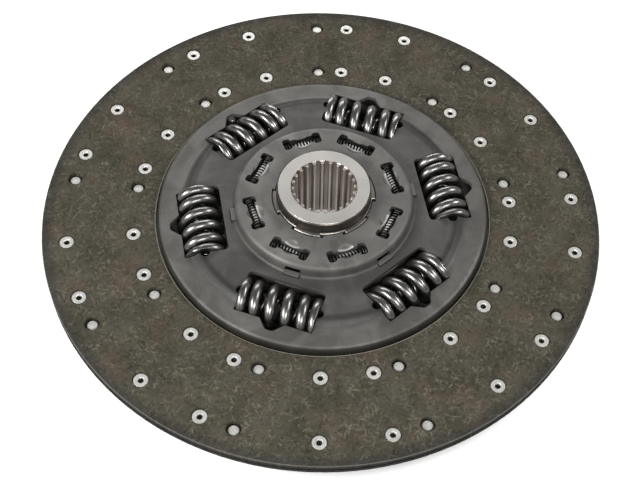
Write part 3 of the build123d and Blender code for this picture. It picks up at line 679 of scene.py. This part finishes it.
# Painted highlight on the middle turns, on the hub side.
middle_turns = ramp(tree, from_middle, HIGHLIGHT_FROM, HIGHLIGHT_TO)
hub_side = ramp(tree, radius, HIGHLIGHT_OUTSIDE, HIGHLIGHT_FULLY)
tint_mask = work_out(tree, "MULTIPLY", middle_turns, hub_side)
tree.links.new(lay(tree, color, tint_mask, PAINTED_WIRE_HIGHLIGHT), shader.inputs["Base Color"])
idle_coil = coil_mesh("idle_coil", IDLE_LENGTH, **IDLE_COIL)
set_springs("idle_coil", "idle_spring", IDLE_SPRINGS, IDLE_PHASE, IDLE_RADIUS, IDLE_HEIGHT,
            idle_coil, idle_finish)


# Friction pack: two rings of dark friction paper, its colour taken down to near black as painted
# shade, and a coned spring washer of blued steel, clamped between the plates. They brake the
# damper's swing and are glimpsed through the windows.
# Painted shade: the paper's colours are taken down to near black.
PACK_SHADED_BROWN = (0.030, 0.024, 0.018, 1.0)
PACK_SHADED_DARK = (0.014, 0.012, 0.010, 1.0)
pack_finish = clouded_finish(
    "friction_paper", metallic=0.0, bump=0.3, bump_depth=0.0002,
    Cloud_Scale=80.0, Grain_Scale=900.0,
    Dark=PACK_SHADED_DARK, Light=PACK_SHADED_BROWN, Dull=0.9, Shiny=0.75)[0]
for node_name in ("friction_ring_front", "friction_ring_rear"):
    dress(node_name, pack_finish)
dress("diaphragm_spring", segment_finish)


# Idle-damper cage and hub bush: black glass-filled polyamide, moulded. The cage holds the small
# springs from below and the bush centres the hub in the rear plate. The idle-damper plate, which
# the hub's lobes turn, is stamped from rolled steel.
MOULDED_BLACK = (0.020, 0.020, 0.021, 1.0)
MOULDED_GREY = (0.045, 0.045, 0.046, 1.0)
moulded_finish = clouded_finish(
    "moulded_polyamide", metallic=0.0, bump=0.15, bump_depth=0.0001,
    Cloud_Scale=60.0, Grain_Scale=1400.0,
    Dark=MOULDED_BLACK, Light=MOULDED_GREY, Dull=0.62, Shiny=0.5)[0]
for node_name in ("idle_damper_cage", "hub_bush"):
    dress(node_name, moulded_finish)
dress("idle_damper_plate", plate_finish)


# Splined hub: forged steel, turned all over, with the spline broached through its bore.
# The turned faces are silvery; hardening has browned the bore, and painted shade darkens it down
# in the grooves. The side of the barrel above the lobes is browned and carries painted shade too,
# reaching up over the face's chamfer; the lobes' ends are a little lighter.
HUB_PALE = (0.80, 0.77, 0.725, 1.0)
HUB_GREY = (0.66, 0.635, 0.595, 1.0)
HUB_BORE_BROWN = (0.68, 0.625, 0.58, 1.0)
GROOVE_PAINTED_SHADE = (0.46, 0.435, 0.41, 1.0)
HUB_SIDE_BROWN_AND_SHADE = (0.092, 0.080, 0.070, 1.0)
BORE_MAJOR = 0.02525
BORE_BROWN_FROM = BORE_MAJOR + 0.0003
BORE_BROWN_TO = BORE_MAJOR - 0.0001
TOOTH_TIP = 0.0232
GROOVE_FLOOR = 0.0249
BARREL_RADIUS = 0.03575
BARREL_BROWN_FROM = BARREL_RADIUS - 0.0011
BARREL_BROWN_TO = BARREL_RADIUS - 0.0008
HUB_FACE_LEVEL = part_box("splined_hub")[1].z
HUB_FACE_BLUR = 0.0002
LOBE_FOOT_RADIUS = 0.0364
LOBE_FOOT_BLUR = 0.0001
LOBE_BROWN_AND_SHADE_SHARE = 0.7
hub_finish, tree, shader, color = clouded_finish(
    "turned_steel", metallic=0.9, bump=0.08, bump_depth=0.0001,
    Cloud_Scale=40.0, Grain_Scale=1500.0,
    Dark=HUB_GREY, Light=HUB_PALE, Dull=0.40, Shiny=0.28)
radius, height = where(tree)
in_bore = ramp(tree, radius, BORE_BROWN_FROM, BORE_BROWN_TO)
# Painted shade down in the spline grooves.
into_groove = ramp(tree, radius, TOOTH_TIP, GROOVE_FLOOR, soft=False)
bore_color = shade(tree, HUB_BORE_BROWN, into_groove, GROOVE_PAINTED_SHADE)
color = lay(tree, color, in_bore, bore_color)
# Browned steel and painted shade on the barrel's side and the face's chamfer, a little less on the
# lobes' ends.
below_face = ramp(tree, height, HUB_FACE_LEVEL, HUB_FACE_LEVEL - HUB_FACE_BLUR)
outside = ramp(tree, radius, BARREL_BROWN_FROM, BARREL_BROWN_TO)
barrel = work_out(tree, "MULTIPLY", below_face, outside)
short_of_lobes = ramp(tree, radius, LOBE_FOOT_RADIUS + LOBE_FOOT_BLUR, LOBE_FOOT_RADIUS,
                      low=LOBE_BROWN_AND_SHADE_SHARE, soft=False)
color = lay(tree, color, work_out(tree, "MULTIPLY", barrel, short_of_lobes), HUB_SIDE_BROWN_AND_SHADE)
tree.links.new(color, shader.inputs["Base Color"])
dress("splined_hub", hub_finish)
